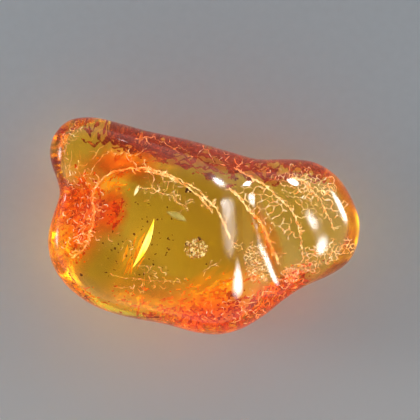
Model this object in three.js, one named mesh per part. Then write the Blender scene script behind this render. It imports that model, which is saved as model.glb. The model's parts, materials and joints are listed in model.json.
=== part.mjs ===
// A tumbled piece of clear amber, lying on its flattened back with its polished face up.
// Millimetres, +Z up. X runs along the stone from its horn to its nose. The origin is under the
// middle of the stone, on the surface that it rests on.

import * as THREE from "three";
import { mergeVertices } from "three/addons/utils/BufferGeometryUtils.js";

// Driving dimensions
const length = 38; // horn end to nose end
const rimHeight = 5.6; // widest line of the body above the table
const rimClimb = { horn: 1.5, nose: 0.6 }; // how much higher that line runs at each end
const faceRise = 5.6; // crown of the face above the widest line, before its swells
const backSink = 0.5; // how far the round back would pass below the table: it is worn flat there
const fullness = { face: 2.8, back: 2.2 }; // exponents of the edge's section: 2 is an ellipse
const fineness = 20; // steps along each edge of the icosahedron that the skin starts from

// The outline seen from above, anticlockwise from the tip of the nose
const outline = [
  [19.0, 0.0], [18.0, 3.4], [16.1, 6.2], [13.3, 7.9], [10.0, 8.2], [6.5, 8.2], [3.5, 9.0],
  [-1.7, 10.5], [-7.2, 11.7], [-10.4, 12.6], [-13.6, 13.3], [-16.6, 12.9], [-18.4, 11.0],
  [-18.9, 8.6], [-18.1, 6.0], [-17.6, 4.1], [-18.4, 1.5], [-19.1, -1.6], [-18.6, -4.5],
  [-16.8, -7.3], [-13.4, -9.8], [-9.5, -11.1], [-4.9, -12.0], [-1.2, -13.0], [1.6, -13.3],
  [4.3, -12.7], [7.4, -10.9], [9.9, -8.9], [12.4, -7.3], [15.4, -6.0], [17.9, -4.1],
];
const middle = [-1.7, 0]; // every point of the outline is in sight of this one

// Soft lumps and hollows. Each is a bell of the given height (down if negative), centred at
// "at", with half-widths "long" and "wide", and its long way turned from +X by "turn" degrees.
const faceRelief = {
  bodyDome: { at: [-2.0, -4.4], long: 10.0, wide: 7.4, turn: 150, height: 2.2 },
  topShoulder: { at: [3.0, 4.8], long: 5.0, wide: 3.6, turn: 160, height: 1.8 },
  waistGroove: { at: [8.3, -4.0], long: 8.4, wide: 2.2, turn: 106, height: -3.4 },
  noseDome: { at: [12.0, 0.0], long: 5.8, wide: 5.4, turn: 0, height: 2.2 },
  hornDome: { at: [-14.8, 9.2], long: 3.6, wide: 3.0, turn: 110, height: 0.7 },
  hornSaddle: { at: [-12.3, 5.6], long: 4.4, wide: 2.2, turn: 35, height: -1.1 },
  crustHollow: { at: [-15.4, 2.4], long: 2.6, wide: 2.0, turn: 80, height: -0.9 },
  footHollow: { at: [-3.2, -8.8], long: 4.6, wide: 2.0, turn: 170, height: -0.5 },
};
const backRelief = {
  backFurrow: { at: [-8.6, -5.0], long: 5.4, wide: 3.0, turn: 65, height: -1.1 },
  backDent: { at: [7.4, 3.4], long: 3.6, wide: 2.6, turn: 150, height: -1.0 },
  backKeel: { at: [9.6, -2.8], long: 3.8, wide: 2.6, turn: 20, height: 0.8 },
};

const lerp = THREE.MathUtils.lerp;

// How far the outline is from its middle in every direction, as a function of the angle.
function reachTable() {
  const steps = 720;
  const points = outline.map(([x, y]) => new THREE.Vector3(x - middle[0], y - middle[1], 0));
  const curve = new THREE.CatmullRomCurve3(points, true, "centripetal");
  const dense = curve.getSpacedPoints(steps).map((p) => ({
    angle: Math.atan2(p.y, p.x),
    reach: Math.hypot(p.x, p.y),
  }));
  return dense.slice(0, steps).sort((a, b) => a.angle - b.angle);
}

const reaches = reachTable();

function reachAt(angle) {
  const after = reaches.findIndex((r) => r.angle >= angle);
  const high = reaches[Math.max(after, 0)];
  const low = reaches[(after > 0 ? after : reaches.length) - 1];
  const turnOf = (a) => (a + 2 * Math.PI) % (2 * Math.PI);
  const share = turnOf(angle - low.angle) / Math.max(turnOf(high.angle - low.angle), 1e-9);
  return lerp(low.reach, high.reach, share);
}

function bell(x, y, { at, long, wide, turn, height }) {
  const a = THREE.MathUtils.degToRad(turn);
  const along = (x - at[0]) * Math.cos(a) + (y - at[1]) * Math.sin(a);
  const across = (y - at[1]) * Math.cos(a) - (x - at[0]) * Math.sin(a);
  return height * Math.exp(-0.5 * ((along / long) ** 2 + (across / wide) ** 2));
}

const reliefAt = (x, y, relief) =>
  Object.values(relief).reduce((sum, lump) => sum + bell(x, y, lump), 0);

function rimAt(x) {
  const share = (2 * x) / length; // -1 at the horn end, 1 at the nose end
  return rimHeight + (share < 0 ? rimClimb.horn : rimClimb.nose) * share * share;
}

// Where a direction from the middle of a ball lands on the stone. The ball's equator becomes
// the outline, its upper half the polished face and its lower half the back.
function onStone(direction) {
  const flat = Math.hypot(direction.x, direction.y);
  const power = 2 / (direction.z >= 0 ? fullness.face : fullness.back);
  const away = flat ** power * reachAt(Math.atan2(direction.y, direction.x));
  const lift = Math.abs(direction.z) ** power;
  const x = middle[0] + (away * direction.x) / Math.max(flat, 1e-9);
  const y = middle[1] + (away * direction.y) / Math.max(flat, 1e-9);
  const rim = rimAt(x);
  if (direction.z >= 0) {
    return [x, y, rim + (faceRise + reliefAt(x, y, faceRelief)) * lift];
  }
  const back = rim - (rim + backSink + reliefAt(x, y, backRelief)) * lift;
  return [x, y, Math.max(back, 0)];
}

function makeStone() {
  const ball = new THREE.IcosahedronGeometry(1, fineness);
  ball.deleteAttribute("normal");
  ball.deleteAttribute("uv");
  const skin = mergeVertices(ball, 1e-4);
  const places = skin.attributes.position;
  const direction = new THREE.Vector3();
  for (let i = 0; i < places.count; i += 1) {
    direction.fromBufferAttribute(places, i).normalize();
    places.setXYZ(i, ...onStone(direction));
  }
  skin.computeBoundingBox();
  const box = skin.boundingBox;
  skin.translate(-(box.min.x + box.max.x) / 2, -(box.min.y + box.max.y) / 2, -box.min.z);
  const grow = length / (box.max.x - box.min.x);
  skin.scale(grow, grow, grow);
  skin.computeVertexNormals();
  return skin;
}

const amberFinish = new THREE.MeshStandardMaterial({
  color: 0xd98a1c,
  roughness: 0.05,
  metalness: 0,
});

const amber = new THREE.Mesh(makeStone(), amberFinish);
amber.name = "amber";

const tumbledAmber = new THREE.Group();
tumbledAmber.add(amber);

export default tumbledAmber;
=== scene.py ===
import json
import math
import random

import bpy
from mathutils import Euler, Matrix, Vector, noise

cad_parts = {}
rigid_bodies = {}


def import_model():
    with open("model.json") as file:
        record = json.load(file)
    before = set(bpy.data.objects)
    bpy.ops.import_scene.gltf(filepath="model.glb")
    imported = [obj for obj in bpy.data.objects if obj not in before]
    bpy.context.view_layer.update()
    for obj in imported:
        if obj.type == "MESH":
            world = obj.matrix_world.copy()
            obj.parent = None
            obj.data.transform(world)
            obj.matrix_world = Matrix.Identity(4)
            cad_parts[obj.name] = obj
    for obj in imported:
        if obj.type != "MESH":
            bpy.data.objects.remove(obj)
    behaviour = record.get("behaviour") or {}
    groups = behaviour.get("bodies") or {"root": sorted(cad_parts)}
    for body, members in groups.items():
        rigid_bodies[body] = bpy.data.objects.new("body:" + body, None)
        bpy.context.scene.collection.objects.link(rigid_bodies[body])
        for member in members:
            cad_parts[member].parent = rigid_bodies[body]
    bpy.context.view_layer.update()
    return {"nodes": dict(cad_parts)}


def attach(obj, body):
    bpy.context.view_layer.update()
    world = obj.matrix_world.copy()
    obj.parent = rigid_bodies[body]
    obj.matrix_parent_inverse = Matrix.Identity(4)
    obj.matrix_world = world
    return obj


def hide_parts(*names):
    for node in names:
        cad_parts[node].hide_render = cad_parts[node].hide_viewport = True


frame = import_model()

# A tumbled piece of clear amber on a grey table, seen from straight above.
# X runs from the horn to the nose, Y across, Z up out of the polished face.
# Places in the dictionaries are in millimetres from the middle of the stone.

mm = 0.001


# helpers

def deselectAll():
    if bpy.context.object and bpy.context.object.mode != "OBJECT":
        bpy.ops.object.mode_set(mode="OBJECT")
    bpy.ops.object.select_all(action="DESELECT")


def pick(piece):
    deselectAll()
    piece.select_set(True)
    bpy.context.view_layer.objects.active = piece


def applyModifier(piece, name, kind, **settings):
    pick(piece)
    modifier = piece.modifiers.new(name, kind)
    for key, value in settings.items():
        setattr(modifier, key, value)
    bpy.ops.object.modifier_apply(modifier=name)


def settle(piece, name, material):
    # puts the piece's place into its mesh and hangs it on the stone
    pick(piece)
    bpy.ops.object.transform_apply(location=True, rotation=True, scale=True)
    piece.name = name
    piece.data.name = name
    piece.data.materials.clear()
    piece.data.materials.append(material)
    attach(piece, "root")
    print("made", name, len(piece.data.polygons), "faces")
    return piece


def plug(tree, socket, value):
    # the value is a plain one, or another socket to link
    if isinstance(value, bpy.types.NodeSocket):
        tree.links.new(value, socket)
    else:
        socket.default_value = value


def addNode(tree, kind, settings=None, **inputs):
    # an input goes by its name with underscores for spaces, or by its number as i0, i1 or i2
    node = tree.nodes.new(kind)
    for key, value in (settings or {}).items():
        setattr(node, key, value)
    for key, value in inputs.items():
        numbered = key[0] == "i" and key[1:].isdigit()
        plug(tree, node.inputs[int(key[1:])] if numbered else node.inputs[key.replace("_", " ")], value)
    return node


def objectPlace(tree):
    return addNode(tree, "ShaderNodeTexCoord").outputs["Object"]


def alongFlow(tree, place, turn, stretch):
    # turns a pattern, in radians, and draws it out that way
    return addNode(tree, "ShaderNodeMapping", {"vector_type": "TEXTURE"}, Vector=place,
                   Rotation=(0, 0, turn), Scale=(stretch, 1, 1)).outputs[0]


def ramp(tree, value, low, high, bottom=0.0, top=1.0, kind="LINEAR"):
    # low to high becomes bottom to top
    return addNode(tree, "ShaderNodeMapRange", {"interpolation_type": kind}, Value=value,
                   From_Min=low, From_Max=high, To_Min=bottom, To_Max=top).outputs[0]


def softRamp(tree, value, low, high, bottom=0.0, top=1.0):
    return ramp(tree, value, low, high, bottom, top, "SMOOTHSTEP")


def layOver(tree, under, tint, mask):
    # each of the two is a colour or a socket
    mix = addNode(tree, "ShaderNodeMix", {"data_type": "RGBA"}, i0=mask)
    for socket, value in zip([s for s in mix.inputs if s.type == "RGBA"], (under, tint)):
        plug(tree, socket, value if isinstance(value, bpy.types.NodeSocket) else (*value, 1))
    return [s for s in mix.outputs if s.type == "RGBA"][0]


def newMaterial(name):
    material = bpy.data.materials.new(name)
    material.use_nodes = True
    return material, material.node_tree, material.node_tree.nodes["Principled BSDF"]


def paintAll(tree, shader, colour, light, rough):
    # the colour, and some light of its own, because lamps don't reach what lies inside the resin
    tree.links.new(colour, shader.inputs["Base Color"])
    tree.links.new(colour, shader.inputs["Emission Color"])
    shader.inputs["Emission Strength"].default_value = light
    shader.inputs["Roughness"].default_value = rough


def makeSpeckled(name, paint, turn=0.0):
    # dark and bright specks, drawn out along the turn
    material, tree, shader = newMaterial(name)
    along = alongFlow(tree, objectPlace(tree), turn, paint["stretch"])
    specks = addNode(tree, "ShaderNodeTexNoise", Vector=along, Scale=paint["grain"], Detail=paint["detail"])
    mask = ramp(tree, specks.outputs["Fac"], *paint["edges"])
    paintAll(tree, shader, layOver(tree, paint["dark"], paint["bright"], mask), paint["glow"], paint["rough"])
    return material


# the clear stone

stoneSkin = {"voxel": 0.24 * mm, "polishing": 10, "rounding": 2}


def makeStone():
    stone = bpy.data.objects.new("clearAmber", frame["nodes"]["amber"].data.copy())
    bpy.context.scene.collection.objects.link(stone)
    pick(stone)
    bpy.ops.object.mode_set(mode="EDIT")
    bpy.ops.mesh.select_all(action="SELECT")
    bpy.ops.mesh.remove_doubles(threshold=0.001 * mm)
    bpy.ops.object.mode_set(mode="OBJECT")
    levels = stoneSkin["rounding"]
    applyModifier(stone, "rounding", "SUBSURF", levels=levels, render_levels=levels)
    applyModifier(stone, "skin", "REMESH", mode="VOXEL", voxel_size=stoneSkin["voxel"])
    applyModifier(stone, "polish", "SMOOTH", factor=0.5, iterations=stoneSkin["polishing"])
    bpy.ops.object.shade_smooth()
    return stone


def faceAt(x, y):
    # the polished face right above or below a place, and which way it faces there
    hit, place, normal, face = clearStone.ray_cast(Vector((x, y, 0.1)), Vector((0, 0, -1)))
    return (place, normal) if hit else (None, None)


# Colour zones: soft blots laid over the clear resin, each where the photo shows that colour.
resinColours = {
    "clear": (1.0, 0.94, 0.46),
    "rim": (0.80, 0.15, 0.03),
    "back": (1.0, 0.80, 0.42),
}
colourBlots = [
    {"at": (-14.6, 9.4), "long": 4.4, "wide": 2.8, "turn": -30, "soft": 0.5, "tint": (1.0, 0.80, 0.16)},
    {"at": (-11.3, -5.4), "long": 6.0, "wide": 3.8, "turn": -20, "soft": 0.5, "tint": (0.70, 0.56, 0.08)},
    {"at": (-17.6, 10.0), "long": 1.3, "wide": 3.4, "turn": -8, "soft": 0.5, "tint": (1.0, 0.36, 0.04)},
    {"at": (-4.5, 9.2), "long": 9.0, "wide": 1.7, "turn": -14, "soft": 0.35, "tint": (0.80, 0.25, 0.10)},
    {"at": (5.0, 7.2), "long": 6.5, "wide": 1.2, "turn": -18, "soft": 0.4, "tint": (0.80, 0.22, 0.08)},
    {"at": (12.5, 7.6), "long": 5.0, "wide": 1.1, "turn": -12, "soft": 0.4, "tint": (0.85, 0.25, 0.06)},
    {"at": (-10.0, 7.0), "long": 4.6, "wide": 1.3, "turn": -14, "soft": 0.4, "tint": (1.0, 0.26, 0.03)},
    {"at": (-14.6, 1.5), "long": 3.2, "wide": 5.0, "turn": 0, "soft": 0.4, "tint": (1.0, 0.26, 0.04)},
    {"at": (-10.8, 1.6), "long": 1.5, "wide": 2.8, "turn": -14, "soft": 0.4, "tint": (1.0, 0.22, 0.02)},
    {"at": (-16.4, -4.0), "long": 1.8, "wide": 5.0, "turn": 12, "soft": 0.5, "tint": (1.0, 0.48, 0.04)},
    {"at": (-3.5, -8.6), "long": 8.5, "wide": 2.4, "turn": -8, "soft": 0.4, "tint": (1.0, 0.50, 0.04)},
    {"at": (1.5, -10.6), "long": 4.6, "wide": 2.0, "turn": 8, "soft": 0.4, "tint": (1.0, 0.20, 0.02)},
    {"at": (9.0, -8.2), "long": 5.6, "wide": 2.2, "turn": 34, "soft": 0.4, "tint": (1.0, 0.28, 0.06)},
    {"at": (7.6, -1.2), "long": 1.0, "wide": 3.8, "turn": 22, "soft": 0.5, "tint": (1.0, 0.46, 0.05)},
]


# Painted light: where the resin is cloudy it gets a soft glow of its own colour, streaked like flow lines,
# standing in for the light it scatters.
glowBlots = [
    {"at": (-3.5, 9.3), "long": 9.0, "wide": 1.8, "turn": -14, "soft": 0.45, "tint": (0.20, 0.030, 0.012)},
    {"at": (6.0, 7.5), "long": 7.0, "wide": 1.5, "turn": -10, "soft": 0.45, "tint": (0.24, 0.040, 0.016)},
    {"at": (13.6, 6.8), "long": 4.0, "wide": 1.2, "turn": -25, "soft": 0.5, "tint": (0.38, 0.075, 0.016)},
    {"at": (-8.4, 7.6), "long": 4.2, "wide": 1.0, "turn": -8, "soft": 0.5, "tint": (0.66, 0.120, 0.003)},
    {"at": (-10.9, 4.9), "long": 2.8, "wide": 1.5, "turn": 40, "soft": 0.4, "tint": (0.42, 0.140, 0.002)},
    {"at": (-14.9, 2.4), "long": 2.6, "wide": 5.0, "turn": 0, "soft": 0.5, "tint": (0.52, 0.085, 0.002)},
    {"at": (-10.5, 1.6), "long": 2.1, "wide": 1.1, "turn": 68, "soft": 0.4, "tint": (0.48, 0.055, 0.002)},
    {"at": (-17.4, -3.4), "long": 1.8, "wide": 4.8, "turn": 14, "soft": 0.5, "tint": (0.70, 0.220, 0.003)},
    {"at": (-14.2, -8.9), "long": 5.2, "wide": 1.2, "turn": -36, "soft": 0.5, "tint": (0.62, 0.170, 0.003)},
    {"at": (-6.8, -9.4), "long": 5.0, "wide": 1.2, "turn": -12, "soft": 0.4, "tint": (0.66, 0.240, 0.003)},
    {"at": (-8.6, -3.4), "long": 3.4, "wide": 1.1, "turn": 62, "soft": 0.7, "tint": (0.30, 0.100, 0.002)},
    {"at": (0.2, -7.9), "long": 5.0, "wide": 2.2, "turn": 24, "soft": 0.4, "tint": (0.66, 0.150, 0.003)},
    {"at": (0.5, -11.4), "long": 7.4, "wide": 1.7, "turn": 0, "soft": 0.5, "tint": (0.50, 0.045, 0.002)},
    {"at": (8.6, -8.4), "long": 5.8, "wide": 2.0, "turn": 36, "soft": 0.5, "tint": (0.40, 0.080, 0.004)},
    {"at": (6.9, -0.8), "long": 2.8, "wide": 0.6, "turn": -66, "soft": 0.6, "tint": (0.48, 0.160, 0.006)},
]
glow = {
    "strength": 0.4,
    "streakTurn": 30, "streakStretch": 3.0, "streakGrain": 900.0,
    "streakEdges": (0.36, 0.64), "streakLight": (0.25, 1.45),
    "underFaces": (-0.3, 0.2), "undersideShade": 0.3,  # how far a face looks up, and the glow's share when it looks down: painted shade on the underside
}
rimBlots = [
    {"at": (18.5, -0.5), "long": 3.0, "wide": 6.0, "turn": 0, "soft": 0.5, "tint": (1.0, 0.66, 0.28)},
    {"at": (-19.0, -2.5), "long": 2.6, "wide": 6.0, "turn": 0, "soft": 0.5, "tint": (1.0, 0.55, 0.06)},
    {"at": (-10.0, -11.5), "long": 7.0, "wide": 3.0, "turn": -16, "soft": 0.5, "tint": (0.95, 0.34, 0.04)},
]


def blotMask(tree, place, blot):
    flat = addNode(tree, "ShaderNodeMapping", {"vector_type": "TEXTURE"}, Vector=place,
                   Location=(blot["at"][0] * mm, blot["at"][1] * mm, 0),
                   Rotation=(0, 0, math.radians(blot["turn"])),
                   Scale=(blot["long"] * mm, blot["wide"] * mm, 1))
    level = addNode(tree, "ShaderNodeVectorMath", {"operation": "MULTIPLY"}, i0=flat.outputs[0], i1=(1, 1, 0))
    far = addNode(tree, "ShaderNodeVectorMath", {"operation": "LENGTH"}, i0=level.outputs[0]).outputs["Value"]
    return softRamp(tree, far, 1 + blot["soft"], 1 - blot["soft"])


# Where the polish is duller: the crazed patches, the groove, the saddle and the soft highlights.
dullBlots = [
    {"at": (8.1, -0.8), "long": 5.4, "wide": 1.0, "turn": -76, "soft": 0.4, "rough": 0.40},
    {"at": (9.0, 2.4), "long": 3.6, "wide": 1.5, "turn": -60, "soft": 0.4, "rough": 0.12},
    {"at": (6.4, -3.2), "long": 3.0, "wide": 1.6, "turn": -70, "soft": 0.4, "rough": 0.14},
    {"at": (14.8, -3.6), "long": 4.0, "wide": 1.8, "turn": 14, "soft": 0.4, "rough": 0.12},
    {"at": (-14.5, 1.0), "long": 3.0, "wide": 5.0, "turn": 0, "soft": 0.4, "rough": 0.12},
    {"at": (13.3, 0.5), "long": 2.8, "wide": 2.2, "turn": 70, "soft": 0.5, "rough": 0.20},
    {"at": (1.2, 5.5), "long": 2.4, "wide": 1.9, "turn": -20, "soft": 0.5, "rough": 0.15},
    {"at": (2.9, 0.2), "long": 4.0, "wide": 1.1, "turn": 90, "soft": 0.5, "rough": 0.32},
]
polish = 0.03


def paintRoughness(tree, place):
    rough = polish
    for blot in dullBlots:
        mixed = addNode(tree, "ShaderNodeMix", {"data_type": "FLOAT"}, i0=blotMask(tree, place, blot))
        for socket, value in zip([s for s in mixed.inputs if s.type == "VALUE"][1:], (rough, blot["rough"])):
            plug(tree, socket, value)
        rough = mixed.outputs[0]
    return rough


def paintGlow(tree, place, pushed, up):
    colour = (0.0, 0.0, 0.0)
    for blot in glowBlots:
        colour = layOver(tree, colour, blot["tint"], blotMask(tree, pushed, blot))
    along = alongFlow(tree, place, math.radians(glow["streakTurn"]), glow["streakStretch"])
    streak = addNode(tree, "ShaderNodeTexNoise", Vector=along, Scale=glow["streakGrain"], Detail=5.0,
                     Roughness=0.65, Distortion=0.9).outputs["Fac"]
    light = ramp(tree, streak, *glow["streakEdges"], *glow["streakLight"])
    # painted shade: the glow is weaker on faces that look down
    face = softRamp(tree, up, *glow["underFaces"], glow["undersideShade"], 1.0)
    both = addNode(tree, "ShaderNodeMath", {"operation": "MULTIPLY"}, i0=light, i1=face)
    lit = addNode(tree, "ShaderNodeVectorMath", {"operation": "SCALE"}, i0=colour, Scale=both.outputs[0])
    return lit.outputs[0]


resin = {
    "ior": 1.54,
    "depthColour": (0.975, 0.90, 0.02, 1), "depthDensity": 100.0,  # deepens with the way through the stone
    "wander": 2.6 * mm, "wanderGrain": 420.0,                      # how far the edges of the zones stray
    "rimFaces": (0.42, 0.05), "backFaces": (-0.45, -0.9),          # how far up a face looks there
}


def makeResin():
    material, tree, shader = newMaterial("amberResin")
    shader.inputs["Transmission Weight"].default_value = 1.0
    shader.inputs["IOR"].default_value = resin["ior"]
    place = objectPlace(tree)
    tree.links.new(paintRoughness(tree, place), shader.inputs["Roughness"])
    stray = addNode(tree, "ShaderNodeTexNoise", Vector=place, Scale=resin["wanderGrain"], Detail=5.0,
                    Roughness=0.65)
    wander = resin["wander"]
    pushed = addNode(tree, "ShaderNodeVectorMath", {"operation": "MULTIPLY_ADD"}, i0=stray.outputs["Color"],
                     i1=(wander, wander, 0), i2=place).outputs[0]
    pushed = addNode(tree, "ShaderNodeVectorMath", {"operation": "SUBTRACT"}, i0=pushed,
                     i1=(wander / 2, wander / 2, 0)).outputs[0]
    colour = resinColours["clear"]
    for blot in colourBlots:
        colour = layOver(tree, colour, blot["tint"], blotMask(tree, pushed, blot))
    normal = addNode(tree, "ShaderNodeNewGeometry").outputs["Normal"]
    up = addNode(tree, "ShaderNodeSeparateXYZ", Vector=normal).outputs["Z"]
    rim = resinColours["rim"]
    for blot in rimBlots:
        rim = layOver(tree, rim, blot["tint"], blotMask(tree, pushed, blot))
    colour = layOver(tree, colour, rim, softRamp(tree, up, *resin["rimFaces"]))
    colour = layOver(tree, colour, resinColours["back"], softRamp(tree, up, *resin["backFaces"]))
    tree.links.new(colour, shader.inputs["Base Color"])
    # painted light: the resin's own glow from the glow blots
    tree.links.new(paintGlow(tree, place, pushed, up), shader.inputs["Emission Color"])
    shader.inputs["Emission Strength"].default_value = glow["strength"]
    depth = addNode(tree, "ShaderNodeVolumeAbsorption", Color=resin["depthColour"],
                    Density=resin["depthDensity"])
    tree.links.new(depth.outputs[0], tree.nodes["Material Output"].inputs["Volume"])
    return material


clearStone = makeStone()
amberResin = makeResin()
settle(clearStone, "clearAmber", amberResin)
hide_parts("amber")


# Cracks: every crack is a line drawn on the face that stands down into the resin as a thin wall.

section = {"bead": 0.3 * mm, "thinnest": 0.25, "swell": 1.3, "twist": 0.8}
justUnder = 0.012 * mm  # how far a crack's top stays below the face
steepest = 0.25         # a face that looks up less than this has no cracks
routeSteps = 6          # steps from one drawn point to the next
shortRoute = 7          # a crack drawn with more points than this is braided and beaded


def drawLine(points):
    # one vertex pulled out of a merged plane, then extruded from point to point
    deselectAll()
    bpy.ops.mesh.primitive_plane_add(size=mm, location=(0, 0, 0))
    line = bpy.context.object
    bpy.ops.object.mode_set(mode="EDIT")
    bpy.ops.mesh.select_all(action="SELECT")
    bpy.ops.mesh.merge(type="CENTER")
    bpy.ops.mesh.select_mode(type="VERT")
    bpy.ops.mesh.select_all(action="SELECT")
    bpy.ops.transform.translate(value=(points[0][0] * mm, points[0][1] * mm, 0))
    for before, after in zip(points, points[1:]):
        step = ((after[0] - before[0]) * mm, (after[1] - before[1]) * mm, 0)
        bpy.ops.mesh.extrude_vertices_move(TRANSFORM_OT_translate={"value": step})
    bpy.ops.object.mode_set(mode="OBJECT")
    return line


def smoothRoute(points, steps):
    # a smooth line through the given points
    route = []
    ends = [points[0]] + list(points) + [points[-1]]
    for i in range(len(points) - 1):
        a, b, c, d = (Vector(p) for p in ends[i:i + 4])
        for k in range(steps):
            t = k / steps
            route.append(0.5 * (2 * b + (c - a) * t + (2 * a - 5 * b + 4 * c - d) * t * t
                                + (3 * b - a - 3 * c + d) * t ** 3))
    route.append(Vector(points[-1]))
    return [tuple(p) for p in route]


def wobbleLine(line, amount, grain, seed):
    for vertex in line.data.vertices:
        at = Vector((vertex.co.x, vertex.co.y, seed * 7.7 * mm)) * (1 / grain)
        shift = noise.noise_vector(at) * amount
        vertex.co.x += shift.x
        vertex.co.y += shift.y


def deleteVertices(piece, gone):
    # everything is deselected in edit mode first, or selected edges would bring their ends along
    pick(piece)
    bpy.ops.object.mode_set(mode="EDIT")
    bpy.ops.mesh.select_mode(type="VERT")
    bpy.ops.mesh.select_all(action="DESELECT")
    bpy.ops.object.mode_set(mode="OBJECT")
    for vertex, goes in zip(piece.data.vertices, gone):
        vertex.select = goes
    bpy.ops.object.mode_set(mode="EDIT")
    bpy.ops.mesh.delete(type="VERT")
    bpy.ops.mesh.select_all(action="SELECT")
    bpy.ops.mesh.delete_loose(use_verts=True, use_edges=False, use_faces=False)
    bpy.ops.object.mode_set(mode="OBJECT")


def layOnFace(line, sunk):
    # drops every vertex onto the face and deletes what misses it
    lost = []
    for vertex in line.data.vertices:
        place, normal = faceAt(vertex.co.x, vertex.co.y)
        lost.append(place is None or normal.z < steepest)
        if place is not None:
            vertex.co = place - normal * sunk
    deleteVertices(line, lost)


def wallFromLine(line, thick, tall, lean, seed):
    # the line becomes a curve whose section is a thin upright wall, then a mesh again
    pick(line)
    bpy.ops.object.convert(target="CURVE")
    wall = bpy.context.object
    wall.data.dimensions = "3D"
    wall.data.twist_mode = "Z_UP"
    wall.data.extrude = tall / 2
    wall.data.bevel_depth = thick / 2
    wall.data.bevel_resolution = 0
    wall.data.use_fill_caps = True
    for spline in wall.data.splines:
        for point in spline.points:
            ragged = noise.noise(Vector(point.co[:3]) * (1 / section["bead"]) + Vector((seed, 0, 0)))
            point.radius = max(section["thinnest"], 1.0 + section["swell"] * ragged)
            point.tilt = lean * (1 + section["twist"] * ragged)
    bpy.ops.object.convert(target="MESH")
    return bpy.context.object


def joinAll(parts):
    deselectAll()
    for part in parts:
        part.select_set(True)
    bpy.context.view_layer.objects.active = parts[0]
    bpy.ops.object.join()
    return bpy.context.object


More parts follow.
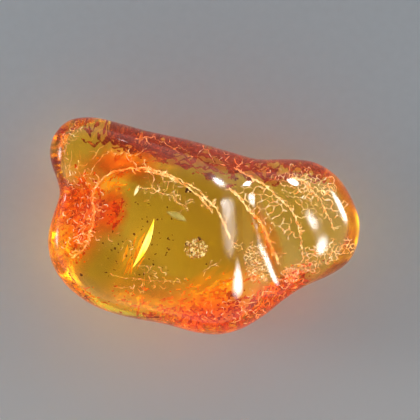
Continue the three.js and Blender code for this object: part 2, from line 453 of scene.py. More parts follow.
longCracks = [
    {"thick": 0.10, "tall": 0.75, "lean": 32, "route": [
        (-16.0, -3.7), (-14.9, -3.2), (-14.1, -2.3), (-13.8, -1.3), (-13.4, 0.0), (-13.3, 1.1), (-13.2, 2.0),
        (-13.4, 3.1), (-13.2, 4.4), (-12.4, 5.5), (-11.3, 6.3), (-9.9, 6.8), (-8.7, 6.9), (-7.7, 7.0),
        (-6.8, 6.9), (-5.6, 6.6), (-4.6, 6.4), (-3.7, 6.0), (-2.4, 5.4), (-1.2, 4.7), (-0.3, 4.0),
        (0.6, 3.0), (1.3, 2.3), (2.0, 1.2), (2.5, 0.1), (2.9, -0.8), (3.2, -1.5)]},
    {"thick": 0.09, "tall": 0.5, "lean": -30, "route": [
        (-16.3, -1.6), (-15.5, -1.2), (-14.5, -0.6), (-13.9, 0.3), (-13.3, 1.4)]},
    {"thick": 0.07, "tall": 0.6, "lean": 40, "route": [
        (-7.0, 6.6), (-5.4, 6.3), (-4.0, 5.8), (-2.6, 5.1), (-1.5, 4.3), (-0.4, 3.4),
        (0.4, 2.5), (1.0, 1.6)]},
    {"thick": 0.09, "tall": 0.9, "lean": 26, "route": [
        (3.6, 7.1), (4.8, 6.4), (5.9, 5.8), (7.0, 5.2), (7.8, 4.5), (8.6, 3.7), (9.4, 3.0), (10.3, 2.2),
        (10.9, 1.1), (11.3, 0.0), (11.5, -1.1), (11.7, -2.2), (11.8, -3.1), (11.9, -3.9)]},
    {"thick": 0.09, "tall": 0.9, "lean": 34, "route": [
        (3.0, 4.6), (4.0, 3.8), (4.7, 2.9), (5.4, 1.9), (6.3, 1.1), (7.0, 0.1), (7.5, -0.9), (7.9, -2.0),
        (8.4, -3.0), (8.8, -3.8), (9.0, -4.6)]},
    {"thick": 0.08, "tall": 0.5, "lean": 20, "route": [
        (10.4, 5.9), (11.3, 5.7), (12.2, 5.3), (12.6, 4.8), (13.0, 4.1), (13.7, 3.5), (14.1, 2.9),
        (14.5, 2.0), (14.9, 1.2), (15.3, 0.4), (15.6, -0.4)]},
    {"thick": 0.08, "tall": 0.5, "lean": -25, "route": [
        (-13.6, 6.2), (-13.0, 7.4), (-12.4, 8.3), (-11.1, 8.9), (-10.5, 8.6), (-9.4, 8.8), (-8.7, 8.5)]},
    {"thick": 0.06, "tall": 0.5, "lean": 20, "route": [
        (-8.2, 10.4), (-7.3, 10.7), (-6.4, 10.7), (-5.3, 10.3), (-4.2, 9.7), (-3.1, 8.9)]},
    {"thick": 0.09, "tall": 0.3, "lean": 30, "route": [(-8.3, 8.5), (-7.5, 9.0), (-6.9, 9.5)]},
    {"thick": 0.06, "tall": 0.5, "lean": 15, "route": [
        (-16.4, 10.5), (-16.7, 8.8), (-16.6, 7.4), (-16.5, 6.0), (-16.3, 5.2)]},
    {"thick": 0.05, "tall": 0.4, "lean": 15, "route": [(-15.8, 9.0), (-16.0, 7.7), (-16.4, 6.6)]},
    {"thick": 0.05, "tall": 0.4, "lean": -15, "route": [(-14.9, 9.0), (-14.9, 7.7), (-15.2, 6.8)]},
    {"thick": 0.10, "tall": 0.3, "lean": 35, "route": [(-13.3, 8.2), (-12.7, 8.9), (-12.1, 9.6)]},
    {"thick": 0.06, "tall": 0.4, "lean": 30, "route": [
        (-11.3, -5.7), (-9.9, -6.1), (-8.0, -6.3), (-6.5, -6.5), (-4.6, -6.5), (-2.9, -6.6)]},
    {"thick": 0.05, "tall": 0.3, "lean": 30, "route": [(-11.0, -7.4), (-9.6, -7.3), (-8.3, -7.4)]},
    {"thick": 0.06, "tall": 0.3, "lean": 20, "route": [(-7.2, -4.7), (-6.1, -4.8)]},
    {"thick": 0.06, "tall": 0.3, "lean": 20, "route": [(-6.8, -5.5), (-5.5, -5.7)]},
    {"thick": 0.05, "tall": 0.4, "lean": 20, "route": [(-7.2, -5.0), (-7.1, -6.4), (-7.3, -8.0)]},
    {"thick": 0.05, "tall": 0.3, "lean": 20, "route": [(-0.2, -5.4), (1.0, -4.7), (1.6, -4.3)]},
    {"thick": 0.06, "tall": 0.4, "lean": 30, "route": [(3.3, -1.9), (4.1, -2.2), (4.8, -2.7)]},
    {"thick": 0.06, "tall": 0.3, "lean": 10, "route": [
        (-6.8, 6.6), (-6.6, 5.5), (-6.1, 4.6), (-6.4, 3.5), (-7.1, 3.0)]},
    {"thick": 0.06, "tall": 0.3, "lean": 10, "route": [
        (-7.6, 4.6), (-6.9, 4.5), (-6.1, 4.6), (-5.0, 3.9), (-3.9, 3.7), (-3.3, 3.0),
        (-2.3, 2.4), (-1.9, 2.1)]},
    {"thick": 0.06, "tall": 0.3, "lean": 10, "route": [(-3.1, 5.5), (-3.6, 4.6), (-3.9, 3.7)]},
    {"thick": 0.06, "tall": 0.3, "lean": 10, "route": [(-2.3, 2.4), (-1.7, 2.8), (-1.1, 2.9)]},
]
# A long crack is two strands that cross each other, with short twigs.
braid = {"seed": 4, "strands": 2, "spread": 0.26, "grain": 0.42, "thin": 0.26, "low": 0.20,
         "twigs": 0.20, "twigLong": 0.30}


def twigRoute(start, luck):
    # a short side crack that wanders off
    heading = luck.uniform(0, 2 * math.pi)
    route = [start]
    for _ in range(luck.randint(2, 4)):
        heading += luck.uniform(-0.7, 0.7)
        step = braid["twigLong"] * luck.uniform(0.5, 1.2)
        route.append((route[-1][0] + step * math.cos(heading), route[-1][1] + step * math.sin(heading)))
    return route


def crackWall(route, crack, seed):
    line = drawLine(route)
    wobbleLine(line, braid["spread"] * mm, braid["grain"] * mm, seed)
    tall = braid["low"] * crack["tall"] * mm
    layOnFace(line, 0.5 * tall + justUnder)
    thick = braid["thin"] * crack["thick"] * mm
    return wallFromLine(line, thick, tall, math.radians(crack["lean"]), seed)


def makeLongCracks(material):
    luck = random.Random(braid["seed"])
    walls = []
    for i, crack in enumerate(longCracks):
        route = smoothRoute(crack["route"], routeSteps)
        for strand in range(braid["strands"] if len(crack["route"]) > shortRoute else 1):
            walls.append(crackWall(route, crack, 10 * i + strand))
        for start in route:
            if luck.random() < braid["twigs"]:
                walls.append(crackWall(twigRoute(start, luck), crack, 10 * i + 5))
    return settle(joinAll(walls), "longCracks", material)


# Crazing: nets of small cells, as in dried glaze, in patches. "gaps" is the share of lines that are missing.
crazePatches = [
    {"at": (7.4, 2.2), "long": 5.0, "wide": 2.1, "turn": -48,
     "cell": 0.85, "gaps": 0.12, "thick": 0.07, "tall": 0.25},
    {"at": (11.6, 5.0), "long": 3.6, "wide": 1.9, "turn": -12,
     "cell": 0.55, "gaps": 0.15, "thick": 0.06, "tall": 0.2},
    {"at": (15.5, 3.4), "long": 3.4, "wide": 1.3, "turn": -62,
     "cell": 0.8, "gaps": 0.2, "thick": 0.07, "tall": 0.25},
    {"at": (13.0, 2.2), "long": 2.4, "wide": 1.8, "turn": -40,
     "cell": 0.7, "gaps": 0.3, "thick": 0.05, "tall": 0.2},
    {"at": (14.4, -3.4), "long": 4.0, "wide": 1.7, "turn": 14,
     "cell": 0.5, "gaps": 0.15, "thick": 0.06, "tall": 0.2},
    {"at": (6.2, -4.2), "long": 2.7, "wide": 1.5, "turn": -72,
     "cell": 0.36, "gaps": 0.1, "thick": 0.06, "tall": 0.2},
    {"at": (10.4, -6.0), "long": 1.2, "wide": 1.0, "turn": 30,
     "cell": 0.28, "gaps": 0.05, "thick": 0.06, "tall": 0.2},
    {"at": (7.6, -8.8), "long": 5.2, "wide": 2.0, "turn": 35,
     "cell": 0.8, "gaps": 0.55, "thick": 0.045, "tall": 0.2},
    {"at": (3.0, 8.3), "long": 6.5, "wide": 1.2, "turn": -16,
     "cell": 0.8, "gaps": 0.6, "thick": 0.04, "tall": 0.2},
    {"at": (-4.8, 5.0), "long": 3.8, "wide": 1.6, "turn": -25,
     "cell": 1.0, "gaps": 0.5, "thick": 0.05, "tall": 0.2},
    {"at": (-14.3, 2.2), "long": 5.2, "wide": 2.4, "turn": 95,
     "cell": 0.6, "gaps": 0.62, "thick": 0.04, "tall": 0.2},
    {"at": (-15.3, -1.8), "long": 2.4, "wide": 1.2, "turn": 45,
     "cell": 0.5, "gaps": 0.6, "thick": 0.04, "tall": 0.2},
    {"at": (1.6, -10.2), "long": 5.0, "wide": 1.6, "turn": 4,
     "cell": 0.7, "gaps": 0.68, "thick": 0.04, "tall": 0.2},
    {"at": (-6.6, -6.4), "long": 2.6, "wide": 1.5, "turn": 20,
     "cell": 0.7, "gaps": 0.6, "thick": 0.04, "tall": 0.2},
    {"at": (-16.3, 10.6), "long": 2.4, "wide": 0.8, "turn": 55,
     "cell": 0.4, "gaps": 0.4, "thick": 0.05, "tall": 0.15},
    {"at": (-10.2, -2.2), "long": 2.2, "wide": 1.4, "turn": -50,
     "cell": 0.9, "gaps": 0.6, "thick": 0.04, "tall": 0.2},
]


def dualNodes():
    group = bpy.data.node_groups.new("cellsFromCorners", "GeometryNodeTree")
    group.interface.new_socket("Geometry", in_out="INPUT", socket_type="NodeSocketGeometry")
    group.interface.new_socket("Geometry", in_out="OUTPUT", socket_type="NodeSocketGeometry")
    start, end = group.nodes.new("NodeGroupInput"), group.nodes.new("NodeGroupOutput")
    dual = group.nodes.new("GeometryNodeDualMesh")
    group.links.new(start.outputs[0], dual.inputs[0])
    group.links.new(dual.outputs[0], end.inputs[0])
    return group


craze = {"reach": 2.6, "fewest": 3, "jumble": 0.42, "raggedEdge": 0.55, "bend": 0.35, "bendGrain": 0.8,
         "thin": 0.75, "lean": 0.2}


def crazeNet(patch, cells, seed):
    cell = patch["cell"] * mm
    along, across = craze["reach"] * patch["long"] * mm, craze["reach"] * patch["wide"] * mm
    columns, rows = (max(craze["fewest"], round(side / cell)) for side in (along, across))
    deselectAll()
    bpy.ops.mesh.primitive_grid_add(x_subdivisions=columns, y_subdivisions=rows, size=1)
    net = bpy.context.object
    bpy.ops.object.mode_set(mode="EDIT")
    bpy.ops.mesh.select_all(action="SELECT")
    bpy.ops.transform.resize(value=(along, across, 1))
    bpy.ops.transform.vertex_random(offset=craze["jumble"] * cell, seed=seed)
    bpy.ops.mesh.quads_convert_to_tris(quad_method="SHORTEST_DIAGONAL")
    bpy.ops.object.mode_set(mode="OBJECT")
    applyModifier(net, "cells", "NODES", node_group=cells)
    outside = []
    for vertex in net.data.vertices:
        u, v = vertex.co.x / (patch["long"] * mm), vertex.co.y / (patch["wide"] * mm)
        ragged = noise.noise(Vector((u * 2.2, v * 2.2, seed * 3.1)))
        outside.append(math.hypot(u, v) > 1.0 + craze["raggedEdge"] * ragged)
    deleteVertices(net, outside)
    bpy.ops.object.mode_set(mode="EDIT")
    bpy.ops.mesh.select_all(action="SELECT")
    bpy.ops.mesh.delete(type="ONLY_FACE")
    bpy.ops.mesh.select_mode(type="EDGE")
    bpy.ops.mesh.select_all(action="DESELECT")
    bpy.ops.mesh.select_random(ratio=patch["gaps"], seed=seed)
    bpy.ops.mesh.delete(type="EDGE")
    bpy.ops.mesh.select_all(action="SELECT")
    bpy.ops.mesh.delete_loose(use_verts=True, use_edges=False, use_faces=False)
    bpy.ops.mesh.select_all(action="SELECT")
    bpy.ops.mesh.subdivide(number_cuts=2)
    bpy.ops.object.mode_set(mode="OBJECT")
    net.rotation_euler.z = math.radians(patch["turn"])
    net.location = (patch["at"][0] * mm, patch["at"][1] * mm, 0)
    bpy.ops.object.transform_apply(location=True, rotation=True, scale=True)
    wobbleLine(net, craze["bend"] * cell, craze["bendGrain"] * cell, seed)
    layOnFace(net, 0.5 * patch["tall"] * mm + justUnder)
    return wallFromLine(net, craze["thin"] * patch["thick"] * mm, patch["tall"] * mm, craze["lean"], seed)


def makeCrazing(material):
    cells = dualNodes()
    nets = [crazeNet(patch, cells, i + 1) for i, patch in enumerate(crazePatches)]
    return settle(joinAll(nets), "crazing", material)


goldPaint = {"dark": (0.88, 0.40, 0.12), "bright": (1.0, 0.88, 0.66), "grain": 1500.0, "detail": 3.0,
             "edges": (0.35, 0.65), "stretch": 1.0, "glow": 0.5, "rough": 0.35}
crackGold = makeSpeckled("crackGold", goldPaint)
makeLongCracks(crackGold)
makeCrazing(crackGold)


# Crust and flow layers: skins of the stone sunk under its face, left standing only in their zones.
# "sunk" is the depth, "holes" the share that is eaten away, "grain" the size of the crumbs.

crustLayers = {
    "bandBrown": {"sunk": 2.2, "holes": 0.46, "grain": 0.45, "ragged": 0.7, "zones": [
        {"at": (-5.3, 10.2), "long": 8.8, "wide": 2.0, "turn": -14},
        {"at": (5.0, 8.0), "long": 6.6, "wide": 1.6, "turn": -10},
        {"at": (12.4, 7.9), "long": 4.6, "wide": 1.2, "turn": -12},
        {"at": (0.5, 7.6), "long": 4.0, "wide": 1.2, "turn": -25}]},
    "redCrust": {"sunk": 1.1, "holes": 0.46, "grain": 0.36, "ragged": 0.6, "zones": [
        {"at": (-14.7, 1.8), "long": 5.2, "wide": 2.4, "turn": 82},
        {"at": (-10.5, 1.7), "long": 2.1, "wide": 1.3, "turn": 70},
        {"at": (-1.0, -11.4), "long": 7.6, "wide": 1.6, "turn": -2},
        {"at": (9.0, -8.4), "long": 6.2, "wide": 1.7, "turn": 36},
        {"at": (3.6, -9.8), "long": 3.0, "wide": 2.2, "turn": 30}]},
    "orangeCrust": {"sunk": 0.6, "holes": 0.58, "grain": 0.34, "ragged": 0.6, "zones": [
        {"at": (-14.8, 0.8), "long": 4.8, "wide": 2.3, "turn": 85},
        {"at": (-11.0, 5.0), "long": 2.6, "wide": 1.6, "turn": 35},
        {"at": (-8.3, 7.8), "long": 3.8, "wide": 0.9, "turn": -8},
        {"at": (-17.0, -3.0), "long": 4.0, "wide": 1.4, "turn": 100},
        {"at": (-0.8, -8.6), "long": 6.0, "wide": 2.6, "turn": 22},
        {"at": (-7.0, -9.3), "long": 6.0, "wide": 1.8, "turn": -12},
        {"at": (8.6, -7.8), "long": 5.8, "wide": 1.5, "turn": 36},
        {"at": (6.9, -0.6), "long": 2.8, "wide": 0.55, "turn": -66},
        {"at": (-14.6, -8.2), "long": 5.0, "wide": 1.1, "turn": -36}]},
    "goldFlow": {"sunk": 0.3, "holes": 0.70, "grain": 0.34, "ragged": 0.6, "zones": [
        {"at": (-17.6, 1.0), "long": 1.2, "wide": 0.9, "turn": 90},
        {"at": (-17.0, -2.4), "long": 2.2, "wide": 0.9, "turn": 100},
        {"at": (-1.0, -8.0), "long": 5.4, "wide": 2.0, "turn": 26},
        {"at": (-7.5, -9.6), "long": 5.2, "wide": 1.3, "turn": -12},
        {"at": (-11.6, 5.2), "long": 2.0, "wide": 1.0, "turn": 40},
        {"at": (9.5, -6.8), "long": 3.4, "wide": 1.0, "turn": 36},
        {"at": (-15.2, -7.6), "long": 4.2, "wide": 0.9, "turn": -38}]},
}
crustPaints = {
    # darkest, middle and brightest colour of each layer, its own glow and the stretch of its pattern
    "bandBrown": {"dark": (0.12, 0.016, 0.006), "middle": (0.34, 0.06, 0.015), "bright": (0.56, 0.20, 0.08),
                  "glow": 0.4, "turn": -14, "stretch": 3.0},
    "redCrust": {"dark": (0.24, 0.02, 0.002), "middle": (0.68, 0.095, 0.003), "bright": (0.92, 0.30, 0.01),
                 "glow": 0.24, "turn": 30, "stretch": 1.4},
    "orangeCrust": {"dark": (0.48, 0.06, 0.002), "middle": (0.88, 0.26, 0.003), "bright": (1.0, 0.52, 0.02),
                    "glow": 0.30, "turn": 35, "stretch": 2.6},
    "goldFlow": {"dark": (0.80, 0.22, 0.003), "middle": (1.0, 0.46, 0.006), "bright": (1.0, 0.74, 0.08),
                 "glow": 0.42, "turn": 35, "stretch": 4.0},
}
crustBody = {"edgeGrain": 1.3 * mm, "lumpGrain": 0.9 * mm, "lumps": 0.5, "crumbs": 0.25, "thick": 0.06 * mm,
             "edgeHoles": 1.1, "fewerInside": 0.5}
crustPattern = {"broad": 900.0, "broadEdges": (0.36, 0.56), "fine": 3200.0, "fineEdges": (0.52, 0.72),
                "rough": 0.4, "shine": 0.15}


def zoneCover(place, layer, seed):
    # over 0 inside a zone, with a ragged edge
    ragged = layer["ragged"] * noise.noise(place * (1 / crustBody["edgeGrain"]) + Vector((seed, 0, 0)))
    best = -1.0
    for zone in layer["zones"]:
        around = math.radians(zone["turn"])
        x, y = place.x / mm - zone["at"][0], place.y / mm - zone["at"][1]
        u = (x * math.cos(around) + y * math.sin(around)) / zone["long"]
        v = (y * math.cos(around) - x * math.sin(around)) / zone["wide"]
        best = max(best, 1 - math.hypot(u, v))
    return best + ragged


def makeCrust(name, layer, material, seed):
    sheet = bpy.data.objects.new(name, clearStone.data.copy())
    bpy.context.scene.collection.objects.link(sheet)
    paint = crustPaints[name]
    around = math.radians(paint["turn"])
    gone = []
    normals = [vertex.normal.copy() for vertex in sheet.data.vertices]
    for vertex, normal in zip(sheet.data.vertices, normals):
        place = vertex.co.copy()
        along = place.x * math.cos(around) + place.y * math.sin(around)
        across = place.y * math.cos(around) - place.x * math.sin(around)
        grain = layer["grain"] * mm
        spot = Vector((along / (grain * paint["stretch"]), across / grain, place.z / grain + seed))
        crumb = noise.noise(spot)
        cover = zoneCover(place, layer, seed)
        eaten = layer["holes"] * (crustBody["edgeHoles"] - crustBody["fewerInside"] * min(1, cover))
        gone.append(cover < 0 or 0.5 + crumb < eaten)
        lump = noise.noise(place * (1 / crustBody["lumpGrain"]) + Vector((0, seed, 0)))
        uneven = 1 + crustBody["lumps"] * lump + crustBody["crumbs"] * crumb
        vertex.co -= normal * layer["sunk"] * mm * uneven
    deleteVertices(sheet, gone)
    applyModifier(sheet, "body", "SOLIDIFY", thickness=crustBody["thick"], offset=0.0)
    bpy.ops.object.shade_flat()
    return settle(sheet, name, material)


def makeCrustPaint(name, paint):
    material, tree, shader = newMaterial(name)
    along = alongFlow(tree, objectPlace(tree), math.radians(paint["turn"]), paint["stretch"])
    broad = addNode(tree, "ShaderNodeTexNoise", Vector=along, Scale=crustPattern["broad"], Detail=6.0,
                    Roughness=0.7, Distortion=0.8).outputs["Fac"]
    fine = addNode(tree, "ShaderNodeTexNoise", Vector=along, Scale=crustPattern["fine"], Detail=3.0,
                   Roughness=0.6).outputs["Fac"]
    colour = layOver(tree, paint["dark"], paint["middle"], ramp(tree, broad, *crustPattern["broadEdges"]))
    colour = layOver(tree, colour, paint["bright"], ramp(tree, fine, *crustPattern["fineEdges"]))
    paintAll(tree, shader, colour, paint["glow"], crustPattern["rough"])
    shader.inputs["Specular IOR Level"].default_value = crustPattern["shine"]
    return material


for number, (layerName, layerFacts) in enumerate(crustLayers.items()):
    makeCrust(layerName, layerFacts, makeCrustPaint(layerName, crustPaints[layerName]), number + 1)


# Small things sealed in the resin

grainShape = {"kinds": 6, "jumble": 0.45, "tip": 0.5, "radius": 0.5, "halfHigh": 0.3, "steepest": 0.3}


def makeGrain(size, seed):
    # an angular crumb, modelled once and copied
    deselectAll()
    bpy.ops.mesh.primitive_ico_sphere_add(subdivisions=1, radius=size, location=(0, 0, 0))
    grain = bpy.context.object
    bpy.ops.object.mode_set(mode="EDIT")
    bpy.ops.mesh.select_all(action="SELECT")
    bpy.ops.transform.vertex_random(offset=grainShape["jumble"] * size, seed=seed)
    bpy.ops.object.mode_set(mode="OBJECT")
    return grain


def copyPiece(piece):
    twin = piece.copy()
    twin.data = piece.data.copy()
    bpy.context.scene.collection.objects.link(twin)
    return twin


def strewGrains(spots, seed):
    # each spot is x, y, depth under the face, size across and how much longer than wide
    luck = random.Random(seed)
    kinds = [makeGrain(1.0, seed + i) for i in range(grainShape["kinds"])]
    tip, radius, halfHigh = grainShape["tip"], grainShape["radius"], grainShape["halfHigh"]
    grains = []
    for x, y, deep, size, longer in spots:
        place, normal = faceAt(x * mm, y * mm)
        if place is None or normal.z < grainShape["steepest"]:
            continue
        grain = copyPiece(luck.choice(kinds))
        turn = Euler((luck.uniform(-tip, tip), luck.uniform(-tip, tip), luck.uniform(0, math.pi)))
        stretch = Matrix.Diagonal((radius * size * mm * longer, radius * size * mm, halfHigh * size * mm, 1))
        sunk = Matrix.Translation(place - normal * deep * mm)
        grain.data.transform(sunk @ turn.to_matrix().to_4x4() @ stretch)
        grains.append(grain)
    for kind in kinds:
        bpy.data.objects.remove(kind)
    return joinAll(grains)


crumbSpots = [
    # the larger brown crumbs, listed one by one
    (-2.1, 4.4, 0.8, 0.55, 1.3), (-1.7, 4.3, 0.9, 0.40, 1.0), (-10.7, -2.7, 0.7, 0.32, 1.2),
    (-8.4, -0.9, 0.9, 0.34, 1.0), (-6.8, 0.6, 0.8, 0.26, 1.1), (-14.9, -6.0, 0.7, 0.38, 1.4),
    (-5.6, 0.9, 1.0, 0.30, 1.0), (-4.4, -2.6, 0.6, 0.22, 1.0), (-1.9, -2.1, 0.5, 0.65, 1.3),
    (-0.6, -1.5, 0.5, 0.45, 1.2), (-1.4, -3.0, 0.5, 0.50, 1.1), (-9.3, -3.6, 0.8, 0.24, 1.5),
    (-12.2, -2.0, 0.6, 0.24, 1.2), (-7.4, -1.9, 0.8, 0.20, 1.0), (0.3, -4.6, 0.9, 0.20, 1.0),
    (-2.9, 2.8, 0.8, 0.18, 1.0),
]
crumbPaint = {"dark": (0.05, 0.018, 0.006), "bright": (0.20, 0.08, 0.02), "grain": 6000.0, "rough": 0.7}
dust = {"seed": 12, "count": 70, "from": (-12.0, -6.2), "to": (-3.6, 3.2),
        "deep": (0.3, 2.0), "size": (0.09, 0.19), "longer": (1, 2.2)}
# The sparkles are painted glints, pale grains with a glow of their own: a cluster of bubbles,
# sparks strewn over some areas, and beads along the long cracks.
cluster = {"seed": 5, "count": 170, "at": (-1.0, -2.6), "reach": (1.35, 1.2),
           "deep": (0.05, 0.5), "size": (0.10, 0.30), "longer": (1, 1.6)}
sparks = {"count": 240, "deep": (0.05, 0.5), "size": (0.07, 0.17), "longer": (1, 1.8), "areas": [
    ((-14.6, 1.2), (2.6, 5.0)), ((8.8, -7.6), (5.4, 2.4)), ((-4.6, 4.4), (4.2, 1.8)),
    ((-5.6, -7.6), (6.4, 2.0)), ((11.0, 4.6), (4.2, 2.2)), ((14.4, -3.0), (3.4, 1.8))]}
beads = {"share": 0.75, "spread": 0.16, "deep": (0.03, 0.2), "size": (0.07, 0.20), "longer": (1, 1.6)}
sparklePaint = {"dark": (0.45, 0.20, 0.05), "bright": (1.0, 0.88, 0.62), "grain": 2600.0, "detail": 2.0,
                "edges": (0.42, 0.60), "stretch": 1.0, "glow": 0.45, "rough": 0.25}


def grainSpot(x, y, kind, luck):
    return x, y, luck.uniform(*kind["deep"]), luck.uniform(*kind["size"]), luck.uniform(*kind["longer"])


def makeCrumbs():
    luck = random.Random(dust["seed"])
    spots = list(crumbSpots)
    for _ in range(dust["count"]):
        x, y = (luck.uniform(low, high) for low, high in zip(dust["from"], dust["to"]))
        spots.append(grainSpot(x, y, dust, luck))
    material, tree, shader = newMaterial("plantCrumb")
    mottle = addNode(tree, "ShaderNodeTexNoise", Vector=objectPlace(tree), Scale=crumbPaint["grain"],
                     Detail=2.0)
    brown = layOver(tree, crumbPaint["dark"], crumbPaint["bright"], mottle.outputs["Fac"])
    tree.links.new(brown, shader.inputs["Base Color"])
    shader.inputs["Roughness"].default_value = crumbPaint["rough"]
    return settle(strewGrains(spots, dust["seed"]), "plantCrumbs", material)


def makeSparkles():
    luck = random.Random(cluster["seed"])
    spots = []
    for _ in range(cluster["count"]):
        far, around = math.sqrt(luck.random()), luck.uniform(0, 2 * math.pi)
        x = cluster["at"][0] + cluster["reach"][0] * far * math.cos(around)
        y = cluster["at"][1] + cluster["reach"][1] * far * math.sin(around)
        spots.append(grainSpot(x, y, cluster, luck))
    for _ in range(sparks["count"]):
        (x, y), (wide, tall) = luck.choice(sparks["areas"])
        spots.append(grainSpot(luck.gauss(x, 0.5 * wide), luck.gauss(y, 0.5 * tall), sparks, luck))
    spread = beads["spread"]
    for crack in longCracks:
        for x, y in smoothRoute(crack["route"], routeSteps):
            if len(crack["route"]) > shortRoute and luck.random() < beads["share"]:
                spots.append(grainSpot(luck.gauss(x, spread), luck.gauss(y, spread), beads, luck))
    material = makeSpeckled("sparklePale", sparklePaint)
    return settle(strewGrains(spots, cluster["seed"]), "sparkles", material)


makeCrumbs()
makeSparkles()

# The gleam is a curved leaf-shaped crack with a painted reflection: a bright yellow core with a strong glow
# of its own, and a halo of painted warm glow under it. The bubble, whose near-white core and glow are a
# painted glint, and the wisp are made in the same way.
leafShapes = {
    "gleam": {"from": (-5.9, 0.9), "to": (-8.5, -4.9), "wide": 0.36, "thick": 0.10, "deep": 1.0, "bow": 0.35,
              "ends": (1.0, 0.70, 0.04), "core": (1.0, 0.92, 0.30), "glow": 1.6},
    "bubble": {"from": (-8.3, 3.6), "to": (-7.7, 4.9), "wide": 0.20, "thick": 0.16, "deep": 0.5, "bow": 0.0,
               "ends": (0.85, 0.75, 0.50), "core": (1.0, 0.97, 0.85), "glow": 0.8},
    "wisp": {"from": (-4.4, 1.7), "to": (-2.0, 0.6), "wide": 0.42, "thick": 0.05, "deep": 1.2, "bow": 0.12,
             "ends": (0.42, 0.36, 0.12), "core": (0.62, 0.58, 0.30), "glow": 0.35},
}
leafTaper = {"wide": 0.75, "thick": 0.6}  # how much thinner the tips are than the middle
leafPaint = {"grain": 2200.0, "detail": 3.0, "edges": (0.36, 0.60), "stretch": 5, "rough": 0.3}


def makeLeafShape(name, leaf):
    start, end = Vector((*leaf["from"], 0)), Vector((*leaf["to"], 0))
    middle, long = (start + end) / 2, (end - start).length
    deselectAll()
    bpy.ops.mesh.primitive_uv_sphere_add(segments=24, ring_count=24, radius=1, location=(0, 0, 0))
    piece = bpy.context.object
    bpy.ops.object.mode_set(mode="EDIT")
    bpy.ops.mesh.select_all(action="SELECT")
    bpy.ops.transform.rotate(value=math.pi / 2, orient_axis="Y", center_override=(0, 0, 0))
    bpy.ops.transform.resize(value=(0.5 * long * mm, leaf["wide"] * mm, leaf["thick"] * mm))
    bpy.ops.object.mode_set(mode="OBJECT")
    turn = math.atan2(end.y - start.y, end.x - start.x)
    place, normal = faceAt(middle.x * mm, middle.y * mm)
    for vertex in piece.data.vertices:
        share = vertex.co.x / (0.5 * long * mm)
        bow = leaf["bow"] * mm * (1 - share * share)
        vertex.co.y = vertex.co.y * (1 - leafTaper["wide"] * share * share) + bow
        vertex.co.z *= 1 - leafTaper["thick"] * share * share
    sunk = Matrix.Translation(place - Vector((0, 0, leaf["deep"] * mm)))
    piece.data.transform(sunk @ Matrix.Rotation(turn, 4, "Z"))
    bpy.ops.object.shade_smooth()
    paint = {**leafPaint, "dark": leaf["ends"], "bright": leaf["core"], "glow": leaf["glow"]}
    return settle(piece, name, makeSpeckled(name, paint, turn))


# painted glow: orange streaks with a glow of their own, the halo under the gleam
haloStreaks = {"seed": 3, "count": 16, "from": (-6.4, -0.2), "to": (-8.9, -5.4), "spread": 0.75,
               "long": (1.0, 2.8), "slant": (-0.15, 0.15), "wide": (0.05, 0.16), "thick": 0.05,
               "deep": (1.2, 2.4), "bow": (-0.2, 0.3),
               "ends": (0.62, 0.20, 0.006), "core": (1.0, 0.42, 0.01), "glow": 0.5}


def makeHalo(halo):
    luck = random.Random(halo["seed"])
    start, end = Vector(halo["from"]), Vector(halo["to"])
    along = (end - start).normalized()
    across = Vector((-along.y, along.x))
    streaks = []
    for i in range(halo["count"]):
        middle = start.lerp(end, luck.betavariate(3, 2)) + across * luck.gauss(0, halo["spread"])
        half = along * luck.uniform(*halo["long"]) / 2 + across * luck.uniform(*halo["slant"])
        leaf = {**halo, "from": tuple(middle - half), "to": tuple(middle + half),
                "wide": luck.uniform(*halo["wide"]), "deep": luck.uniform(*halo["deep"]),
                "bow": luck.uniform(*halo["bow"])}
        streaks.append(makeLeafShape("streak" + str(i), leaf))
    material = streaks[0].data.materials[0]
    settle(joinAll(streaks), "gleamHalo", material)


for leafName, leafFacts in leafShapes.items():
    makeLeafShape(leafName, leafFacts)
makeHalo(haloStreaks)


# the table, the light and the camera

studio = {
    "table": (0.84, 0.90, 0.95),
    "tableAcross": 6, "tableTop": -0.05 * mm, "tableRough": 0.85,
    "fibreGrain": 900.0, "fibreShade": 0.94,
    "footLight": (1.0, 1.0, 1.0), "footLightFade": (10 * mm, -28 * mm),  # painted light: the paper is brighter towards the foot
    "overhead": (0.14, 0.145, 0.15),
    "horizon": (0.95, 0.95, 0.96), "skyFade": (0.0, 0.75),
    "lampFade": (1.0, 0.25),
}
lamps = {
    # azimuth and tilt from straight up in degrees, far in metres from the origin
    # wide is away from the top and long is across, in metres, and a glint shows only in reflections
    "keyRight": {"azimuth": 10, "tilt": 35, "far": 0.40, "wide": 0.19, "long": 0.24,
                 "bright": 28.0, "role": "glint"},
    "streakFoot": {"azimuth": -36, "tilt": 54, "far": 0.40, "wide": 0.16, "long": 0.34,
                   "bright": 26.0, "role": "glint"},
    "glowTop": {"azimuth": 67, "tilt": 60, "far": 0.09, "wide": 0.024, "long": 0.030,
                "bright": 60.0, "role": "glint"},
    "crescent": {"azimuth": 22, "tilt": 85, "far": 0.40, "wide": 0.09, "long": 0.26,
                 "bright": 22.0, "role": "glint"},
    "rimRight": {"azimuth": 18, "tilt": 84, "far": 0.40, "wide": 0.11, "long": 0.28,
                 "bright": 9.0, "role": "rim"},
    "rimLeft": {"azimuth": 172, "tilt": 76, "far": 0.40, "wide": 0.12, "long": 0.24,
                "bright": 9.0, "role": "rim"},
}
lens = {"aim": (0.73, 1.95, 7.0), "focal": 200.0, "sensor": 36.0, "above": 284.0}


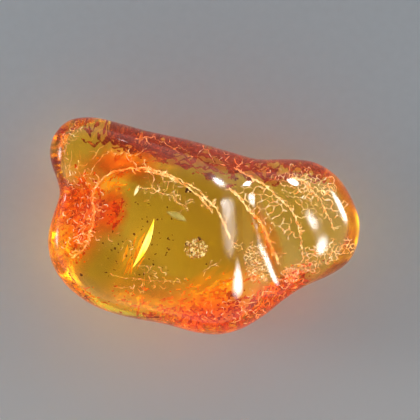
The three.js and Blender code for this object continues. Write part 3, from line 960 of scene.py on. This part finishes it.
def makeTable():
    deselectAll()
    bpy.ops.mesh.primitive_plane_add(size=studio["tableAcross"], location=(0, 0, studio["tableTop"]))
    table = bpy.context.object
    table.name = "table"
    material, tree, shader = newMaterial("tablePaper")
    place = objectPlace(tree)
    fibre = addNode(tree, "ShaderNodeTexNoise", Vector=place, Scale=studio["fibreGrain"], Detail=3.0)
    grey = studio["table"]
    paper = layOver(tree, grey, tuple(studio["fibreShade"] * c for c in grey), fibre.outputs["Fac"])
    across = addNode(tree, "ShaderNodeSeparateXYZ", Vector=place).outputs["Y"]
    # painted light: the paper turns brighter towards the foot
    paper = layOver(tree, paper, studio["footLight"], softRamp(tree, across, *studio["footLightFade"]))
    tree.links.new(paper, shader.inputs["Base Color"])
    shader.inputs["Roughness"].default_value = studio["tableRough"]
    shader.inputs["Specular IOR Level"].default_value = 0.0
    table.data.materials.append(material)


def makeSky():
    world = bpy.data.worlds.new("studioAir")
    bpy.context.scene.world = world
    world.use_nodes = True
    tree = world.node_tree
    look = addNode(tree, "ShaderNodeTexCoord").outputs["Generated"]
    up = addNode(tree, "ShaderNodeSeparateXYZ", Vector=look).outputs["Z"]
    sky = layOver(tree, studio["horizon"], studio["overhead"], softRamp(tree, up, *studio["skyFade"]))
    tree.links.new(sky, tree.nodes["Background"].inputs["Color"])


def softenLamp(light):
    # bright in the middle and dark at its edges, as a softbox is
    light.data.use_nodes = True
    tree = light.data.node_tree
    spot = addNode(tree, "ShaderNodeNewGeometry").outputs["Parametric"]
    centred = addNode(tree, "ShaderNodeVectorMath", {"operation": "MULTIPLY_ADD"}, i0=spot, i1=(2, 2, 0),
                      i2=(-1, -1, 0)).outputs[0]
    far = addNode(tree, "ShaderNodeVectorMath", {"operation": "LENGTH"}, i0=centred).outputs["Value"]
    tree.links.new(softRamp(tree, far, *studio["lampFade"]), tree.nodes["Emission"].inputs["Strength"])


def makeLamp(name, lamp):
    around, off = math.radians(lamp["azimuth"]), math.radians(lamp["tilt"])
    towards = Vector((math.sin(off) * math.cos(around), math.sin(off) * math.sin(around), math.cos(off)))
    deselectAll()
    bpy.ops.object.light_add(type="AREA", location=towards * lamp["far"])
    light = bpy.context.object
    light.name = name
    light.rotation_euler = (-towards).to_track_quat("-Z", "Y").to_euler()
    light.data.shape = "RECTANGLE"
    light.data.size = lamp["long"]
    light.data.size_y = lamp["wide"]
    light.data.energy = lamp["bright"] * math.pi * lamp["wide"] * lamp["long"]
    light.visible_camera = False
    if lamp["role"] == "glint":
        light.visible_diffuse = False
        light.visible_transmission = False
    softenLamp(light)


def makeCamera():
    x, y, z = (value * mm for value in lens["aim"])
    deselectAll()
    bpy.ops.object.camera_add(location=(x, y, z + lens["above"] * mm), rotation=(0, 0, 0))
    camera = bpy.context.object
    camera.data.lens = lens["focal"]
    camera.data.sensor_width = lens["sensor"]
    camera.data.clip_start = 10 * mm
    bpy.context.scene.camera = camera


makeTable()
makeSky()
for lampName, lampFacts in lamps.items():
    makeLamp(lampName, lampFacts)
makeCamera()
bpy.context.scene.view_settings.view_transform = "Standard"
print("studio ready")
